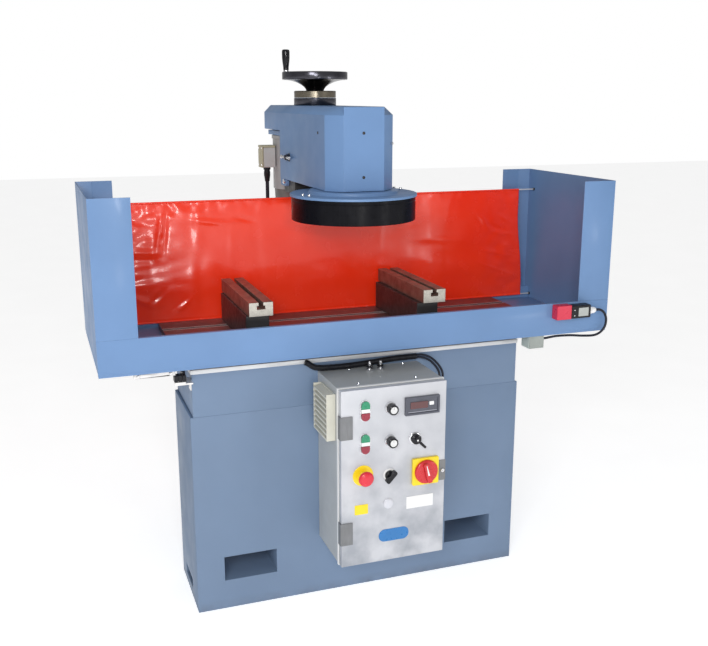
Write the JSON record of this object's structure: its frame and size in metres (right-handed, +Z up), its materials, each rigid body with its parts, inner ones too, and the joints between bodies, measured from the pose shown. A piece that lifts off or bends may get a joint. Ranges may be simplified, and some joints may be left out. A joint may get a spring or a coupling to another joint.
{
  "type": "surface grinder",
  "caption": "Engine-head surface grinder: travelling table in a splash tray, vertical wheel head on a round column, and a control cabinet on a welded base.",
  "frame": {"origin": "on the floor, at the centre of the rectangular base", "axes": "+X along the table's travel to the operator's right, +Y from the operator to the column, +Z up"},
  "size_m": [1.47, 0.9361, 1.56],
  "materials": {
    "machine_blue": "gloss enamel",
    "base_blue": "semi-gloss enamel",
    "ground_steel": "ground",
    "cast_iron": "machined",
    "dark_steel": "blued and turned",
    "black_plastic": "satin",
    "belt_rubber": "matt",
    "cable_black": "satin sheath",
    "cabinet_grey": "powder coat",
    "door_grey": "brushed",
    "hinge_grey": "moulded",
    "signal_red": "moulded",
    "signal_green": "moulded",
    "signal_yellow": "moulded",
    "red_vinyl": "gloss PVC sheet",
    "abrasive": "bonded grit",
    "motor_grey": "satin",
    "box_beige": "satin"
  },
  "bodies": {
    "base_frame": {"base_cabinet": "base_blue", "bed": "base_blue", "bed_top_plate": "ground_steel", "column_pedestal": "base_blue", "column": "ground_steel", "table_gearmotor": "black_plastic", "limit_switch": "black_plastic", "cabinet_box": "cabinet_grey", "vent_grille": "cabinet_grey", "conduit": "cable_black", "cabinet_cables": "cable_black"},
    "table_assembly": {"table": "ground_steel", "splash_tray": "machine_blue", "trip_rail": "ground_steel", "end_guard_left": "machine_blue", "end_guard_right": "machine_blue", "curtain": "red_vinyl", "curtain_wire_bottom": "ground_steel", "curtain_wire_top": "ground_steel", "interlock_switch": "black_plastic", "junction_box": "cabinet_grey", "interlock_cable": "cable_black"},
    "screw_body": {"table_screw": "ground_steel"},
    "support_left_body": {"work_support_left": "cast_iron"},
    "support_right_body": {"work_support_right": "cast_iron"},
    "head_assembly": {"head_cover": "machine_blue", "head_casting": "cast_iron", "guard_disc": "machine_blue", "guard_skirt": "black_plastic", "drive_belt": "belt_rubber", "spindle_motor": "motor_grey", "terminal_box": "box_beige", "motor_cable": "cable_black"},
    "spindle_body": {"spindle": "ground_steel", "grinding_wheel": "abrasive"},
    "motor_pulley_body": {"motor_pulley": "ground_steel"},
    "clamp_lever_body": {"clamp_lever": "ground_steel"},
    "handwheel_body": {"handwheel": "dark_steel", "feed_screw": "ground_steel"},
    "dial_ring_body": {"dial_ring": "ground_steel"},
    "crank_grip_body": {"crank_grip": "black_plastic"},
    "door_body": {"cabinet_door": "door_grey", "hinge_upper": "hinge_grey", "hinge_lower": "hinge_grey", "panel_meter": "black_plastic", "main_switch_plate": "signal_yellow", "start_stop_upper": "black_plastic", "start_stop_lower": "black_plastic"},
    "limit_roller_body": {"limit_roller": "ground_steel"},
    "estop_body": {"estop_button": "signal_red"},
    "main_switch_body": {"main_switch_knob": "signal_red"},
    "door_lock_body": {"door_lock": "ground_steel"},
    "mode_lever_body": {"mode_lever": "black_plastic"},
    "selector_body": {"selector_knob": "black_plastic"},
    "green_button_upper_body": {"green_button_upper": "signal_green"},
    "red_button_upper_body": {"red_button_upper": "signal_red"},
    "speed_knob_upper_body": {"speed_knob_upper": "black_plastic"},
    "green_button_lower_body": {"green_button_lower": "signal_green"},
    "red_button_lower_body": {"red_button_lower": "signal_red"},
    "speed_knob_lower_body": {"speed_knob_lower": "black_plastic"}
  },
  "joints": [
    {"name": "table_traverse", "type": "slide", "parent": "base_frame", "child": "table_assembly", "axis": [1, 0, 0], "range_m": [-0.355, 0.355]},
    {"name": "table_screw_turn", "type": "hinge", "parent": "base_frame", "child": "screw_body", "pos_m": [0, 0, 0.668], "axis": [1, 0, 0], "continuous": true},
    {"name": "support_left_slide", "type": "slide", "parent": "table_assembly", "child": "support_left_body", "axis": [1, 0, 0], "range_m": [-0.15, 0.2]},
    {"name": "support_right_slide", "type": "slide", "parent": "table_assembly", "child": "support_right_body", "axis": [1, 0, 0], "range_m": [-0.2, 0.25]},
    {"name": "handwheel_turn", "type": "hinge", "parent": "head_assembly", "child": "handwheel_body", "pos_m": [0, 0.3085, 1.48], "axis": [0, 0, 1], "range_deg": [-2880, 6480]},
    {"name": "head_lift", "type": "slide", "parent": "base_frame", "child": "head_assembly", "axis": [0, 0, 1], "range_m": [-0.0402, 0.0902]},
    {"name": "crank_grip_spin", "type": "hinge", "parent": "handwheel_body", "child": "crank_grip_body", "pos_m": [-0.08269, 0.3386, 1.53], "axis": [0, 0, 1], "continuous": true},
    {"name": "dial_ring_set", "type": "hinge", "parent": "head_assembly", "child": "dial_ring_body", "pos_m": [0, 0.3085, 1.427], "axis": [0, 0, 1], "continuous": true},
    {"name": "spindle_spin", "type": "hinge", "parent": "head_assembly", "child": "spindle_body", "pos_m": [0, -0.0445, 1.2], "axis": [0, 0, 1], "continuous": true},
    {"name": "motor_spin", "type": "hinge", "parent": "head_assembly", "child": "motor_pulley_body", "pos_m": [0, 0.4745, 1.35], "axis": [0, 0, 1], "continuous": true},
    {"name": "clamp_lever_turn", "type": "hinge", "parent": "head_assembly", "child": "clamp_lever_body", "pos_m": [-0.1055, 0.265, 1.241], "axis": [1, 0, 0], "range_deg": [-60, 45]},
    {"name": "door_hinge", "type": "hinge", "parent": "base_frame", "child": "door_body", "pos_m": [-0.1384, -0.3145, 0.43], "axis": [0, 0, -1], "range_deg": [0, 110]},
    {"name": "limit_roller_press", "type": "slide", "parent": "base_frame", "child": "limit_roller_body", "axis": [0, 0, -1], "range_m": [0, 0.002], "stiffness_N_per_m": 300, "springref_m": -0.001},
    {"name": "green_upper_press", "type": "slide", "parent": "door_body", "child": "green_button_upper_body", "axis": [0, 1, 0], "range_m": [0, 0.003], "stiffness_N_per_m": 600, "springref_m": -0.001},
    {"name": "red_upper_press", "type": "slide", "parent": "door_body", "child": "red_button_upper_body", "axis": [0, 1, 0], "range_m": [0, 0.003], "stiffness_N_per_m": 600, "springref_m": -0.001},
    {"name": "speed_upper_turn", "type": "hinge", "parent": "door_body", "child": "speed_knob_upper_body", "pos_m": [0.0005, -0.3486, 0.623], "axis": [0, 1, 0], "range_deg": [-140, 140]},
    {"name": "green_lower_press", "type": "slide", "parent": "door_body", "child": "green_button_lower_body", "axis": [0, 1, 0], "range_m": [0, 0.003], "stiffness_N_per_m": 600, "springref_m": -0.001},
    {"name": "red_lower_press", "type": "slide", "parent": "door_body", "child": "red_button_lower_body", "axis": [0, 1, 0], "range_m": [0, 0.003], "stiffness_N_per_m": 600, "springref_m": -0.001},
    {"name": "speed_lower_turn", "type": "hinge", "parent": "door_body", "child": "speed_knob_lower_body", "pos_m": [0.0005, -0.3486, 0.531], "axis": [0, 1, 0], "range_deg": [-140, 140]},
    {"name": "mode_turn", "type": "hinge", "parent": "door_body", "child": "mode_lever_body", "pos_m": [0.0735, -0.3416, 0.527], "axis": [0, 1, 0], "range_deg": [-90, 0]},
    {"name": "selector_turn", "type": "hinge", "parent": "door_body", "child": "selector_body", "pos_m": [0, -0.3416, 0.432], "axis": [0, 1, 0], "range_deg": [0, 90]},
    {"name": "estop_press", "type": "slide", "parent": "door_body", "child": "estop_body", "axis": [0, 1, 0], "range_m": [0, 0.005], "stiffness_N_per_m": 1500, "springref_m": -0.001},
    {"name": "main_switch_turn", "type": "hinge", "parent": "door_body", "child": "main_switch_body", "pos_m": [0.1035, -0.3456, 0.4305], "axis": [0, 1, 0], "range_deg": [0, 90]},
    {"name": "door_lock_turn", "type": "hinge", "parent": "door_body", "child": "door_lock_body", "pos_m": [0.1555, -0.3366, 0.424], "axis": [0, 1, 0], "range_deg": [0, 90]}
  ],
  "couplings": [
    {"joint": "table_screw_turn", "follows": "table_traverse", "rad_per_m": 628.32},
    {"joint": "head_lift", "follows": "handwheel_turn", "m_per_rad": 0.00079577},
    {"joint": "motor_spin", "follows": "spindle_spin", "ratio": 1}
  ]
}
